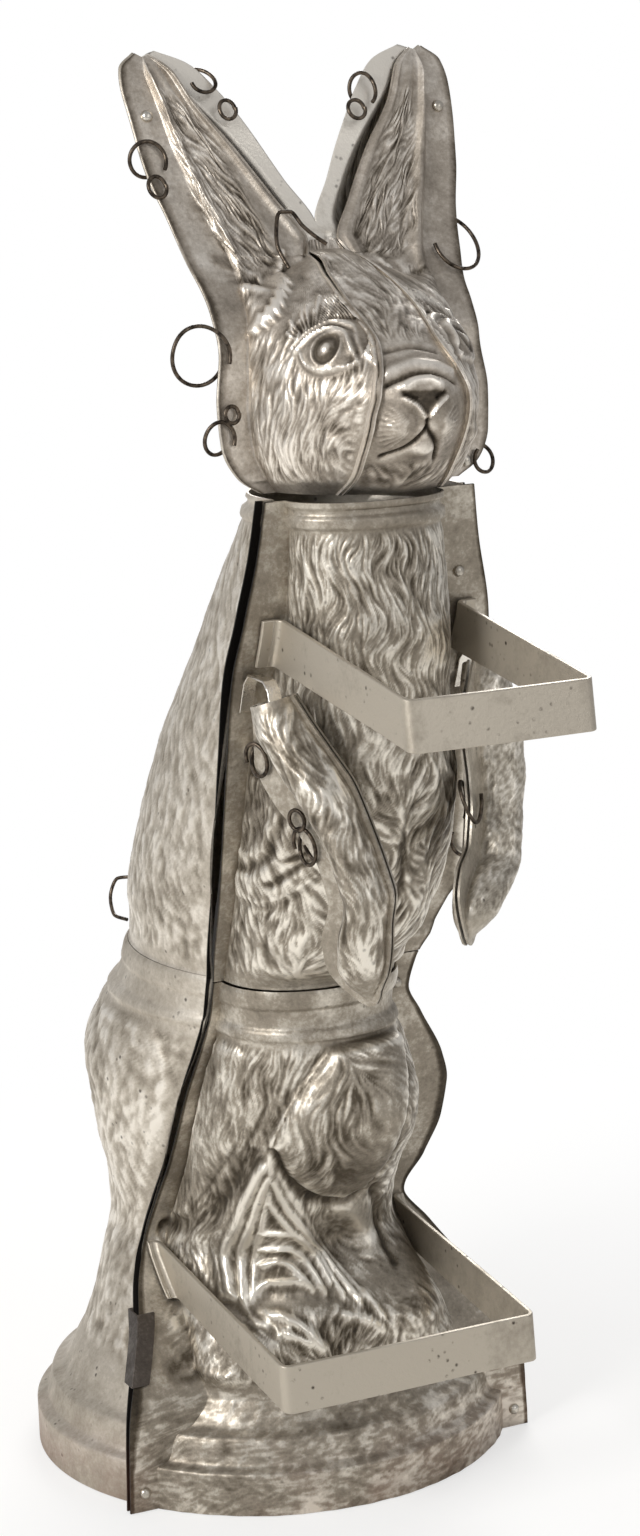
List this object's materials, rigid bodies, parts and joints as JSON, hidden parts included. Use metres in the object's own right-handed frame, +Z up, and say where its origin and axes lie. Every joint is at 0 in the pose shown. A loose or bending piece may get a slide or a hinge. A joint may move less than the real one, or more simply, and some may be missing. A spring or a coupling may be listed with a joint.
{
  "type": "chocolate mould",
  "caption": "Tall rabbit-shaped chocolate mould of pressed tinned sheets, with strap brackets to lie on and spring wire clips that hold its halves together.",
  "frame": {"origin": "on the floor, under the middle of the whole object's box", "axes": "+Z up, -Y the way the rabbit looks, +X the rabbit's left"},
  "size_m": [0.2588, 0.4167, 0.7422],
  "materials": {
    "aged_tin": "worn tin plating on pressed sheet, satin with bright ridges",
    "dull_tin": "duller worn tin plating",
    "bracket_steel": "matt stained strap steel",
    "spring_wire": "dark oxidised spring wire",
    "worn_metal": "rubbed bright metal"
  },
  "bodies": {
    "front_half": {"body_front_upper": "aged_tin", "body_front_lower": "aged_tin", "upper_bracket": "bracket_steel", "lower_bracket": "bracket_steel", "right_arm_hook": "worn_metal", "left_arm_hook": "worn_metal"},
    "back_half": {"body_back_upper": "dull_tin", "body_back_lower": "dull_tin", "peg_chest": "worn_metal", "peg_waist": "worn_metal", "peg_base_left": "worn_metal", "peg_base_right": "worn_metal", "back_wire_eye": "spring_wire"},
    "head_half": {"head_back": "dull_tin", "peg_jaw": "worn_metal", "peg_right_ear": "worn_metal", "peg_left_ear": "worn_metal"},
    "right_cheek": {"head_right_cheek_and_ear": "aged_tin"},
    "left_cheek": {"head_left_cheek_and_ear": "aged_tin"},
    "snout": {"head_snout": "aged_tin"},
    "right_arm": {"right_arm_inner_shell": "dull_tin"},
    "right_arm_cover": {"right_arm_outer_shell": "aged_tin"},
    "left_arm": {"left_arm_inner_shell": "dull_tin"},
    "left_arm_cover": {"left_arm_outer_shell": "aged_tin"},
    "clip_base": {"clip_base": "spring_wire"},
    "clip_flank": {"clip_flank": "spring_wire"},
    "clip_forehead": {"clip_forehead": "spring_wire"},
    "clip_left_arm": {"clip_left_arm": "spring_wire"},
    "clip_left_brow": {"clip_left_brow": "spring_wire"},
    "clip_left_ear_inner": {"clip_left_ear_inner": "spring_wire"},
    "clip_left_jaw": {"clip_left_jaw": "spring_wire"},
    "clip_right_arm_lower": {"clip_right_arm_lower": "spring_wire"},
    "clip_right_arm_upper": {"clip_right_arm_upper": "spring_wire"},
    "clip_right_cheek": {"clip_right_cheek": "spring_wire"},
    "clip_right_ear_inner": {"clip_right_ear_inner": "spring_wire"},
    "clip_right_ear_outer": {"clip_right_ear_outer": "spring_wire"},
    "clip_right_jaw": {"clip_right_jaw": "spring_wire"}
  },
  "joints": [
    {"name": "back_half_parts_backwards", "type": "slide", "parent": "front_half", "child": "back_half", "axis": [0, 1, 0], "range_m": [0, 0.12], "deforming": ["clip_flank", "clip_base"]},
    {"name": "head_lifts_off_the_neck", "type": "slide", "parent": "front_half", "child": "head_half", "axis": [0, 0, 1], "range_m": [0, 0.1]},
    {"name": "right_cheek_parts_forwards", "type": "slide", "parent": "head_half", "child": "right_cheek", "axis": [0, -1, 0], "range_m": [0, 0.08], "deforming": ["clip_right_ear_outer", "clip_right_cheek", "clip_right_jaw", "clip_forehead", "clip_right_ear_inner"]},
    {"name": "left_cheek_parts_forwards", "type": "slide", "parent": "head_half", "child": "left_cheek", "axis": [0, -1, 0], "range_m": [0, 0.08], "deforming": ["clip_left_brow", "clip_left_jaw", "clip_left_ear_inner"]},
    {"name": "snout_parts_forwards", "type": "slide", "parent": "head_half", "child": "snout", "axis": [0, -1, 0], "range_m": [0, 0.06]},
    {"name": "right_arm_swings_on_its_hook", "type": "hinge", "parent": "front_half", "child": "right_arm", "pos_m": [-0.061, -0.0892, 0.4375], "axis": [-0.8742, -0.4827, -0.0532], "range_deg": [0, 8]},
    {"name": "right_arm_cover_parts", "type": "slide", "parent": "right_arm", "child": "right_arm_cover", "axis": [-0.8742, -0.4827, -0.0532], "range_m": [0, 0.04], "deforming": ["clip_right_arm_lower", "clip_right_arm_upper"]},
    {"name": "left_arm_swings_on_its_hook", "type": "hinge", "parent": "front_half", "child": "left_arm", "pos_m": [0.0585, -0.0782, 0.4395], "axis": [-0.6937, 0.7165, -0.0732], "range_deg": [0, 8]},
    {"name": "left_arm_cover_parts", "type": "slide", "parent": "left_arm", "child": "left_arm_cover", "axis": [0.6937, -0.7165, 0.0732], "range_m": [0, 0.04], "deforming": ["clip_left_arm"]},
    {"name": "clip_base_pulls_off", "type": "slide", "parent": "front_half", "child": "clip_base", "axis": [-1, 0, 0], "range_m": [0, 0.03]},
    {"name": "clip_flank_pulls_off", "type": "slide", "parent": "front_half", "child": "clip_flank", "axis": [1, 0, 0], "range_m": [0, 0.03]},
    {"name": "clip_forehead_pulls_off", "type": "slide", "parent": "head_half", "child": "clip_forehead", "axis": [0, -1, 0], "range_m": [0, 0.03]},
    {"name": "clip_left_arm_pulls_off", "type": "slide", "parent": "left_arm", "child": "clip_left_arm", "axis": [-0.6666, -0.6002, 0.4421], "range_m": [0, 0.02]},
    {"name": "clip_left_brow_pulls_off", "type": "slide", "parent": "head_half", "child": "clip_left_brow", "axis": [1, 0, 0], "range_m": [0, 0.03]},
    {"name": "clip_left_ear_inner_pulls_off", "type": "slide", "parent": "head_half", "child": "clip_left_ear_inner", "axis": [-1, 0, 0], "range_m": [0, 0.03]},
    {"name": "clip_left_jaw_pulls_off", "type": "slide", "parent": "head_half", "child": "clip_left_jaw", "axis": [1, 0, 0], "range_m": [0, 0.03]},
    {"name": "clip_right_arm_lower_pulls_off", "type": "slide", "parent": "right_arm", "child": "clip_right_arm_lower", "axis": [-0.4501, 0.8465, -0.2844], "range_m": [0, 0.02]},
    {"name": "clip_right_arm_upper_pulls_off", "type": "slide", "parent": "right_arm", "child": "clip_right_arm_upper", "axis": [-0.4501, 0.8465, -0.2844], "range_m": [0, 0.02]},
    {"name": "clip_right_cheek_pulls_off", "type": "slide", "parent": "head_half", "child": "clip_right_cheek", "axis": [-1, 0, 0], "range_m": [0, 0.03]},
    {"name": "clip_right_ear_inner_pulls_off", "type": "slide", "parent": "head_half", "child": "clip_right_ear_inner", "axis": [1, 0, 0], "range_m": [0, 0.03]},
    {"name": "clip_right_ear_outer_pulls_off", "type": "slide", "parent": "head_half", "child": "clip_right_ear_outer", "axis": [-1, 0, 0], "range_m": [0, 0.03]},
    {"name": "clip_right_jaw_pulls_off", "type": "slide", "parent": "head_half", "child": "clip_right_jaw", "axis": [-1, 0, 0], "range_m": [0, 0.03]}
  ]
}
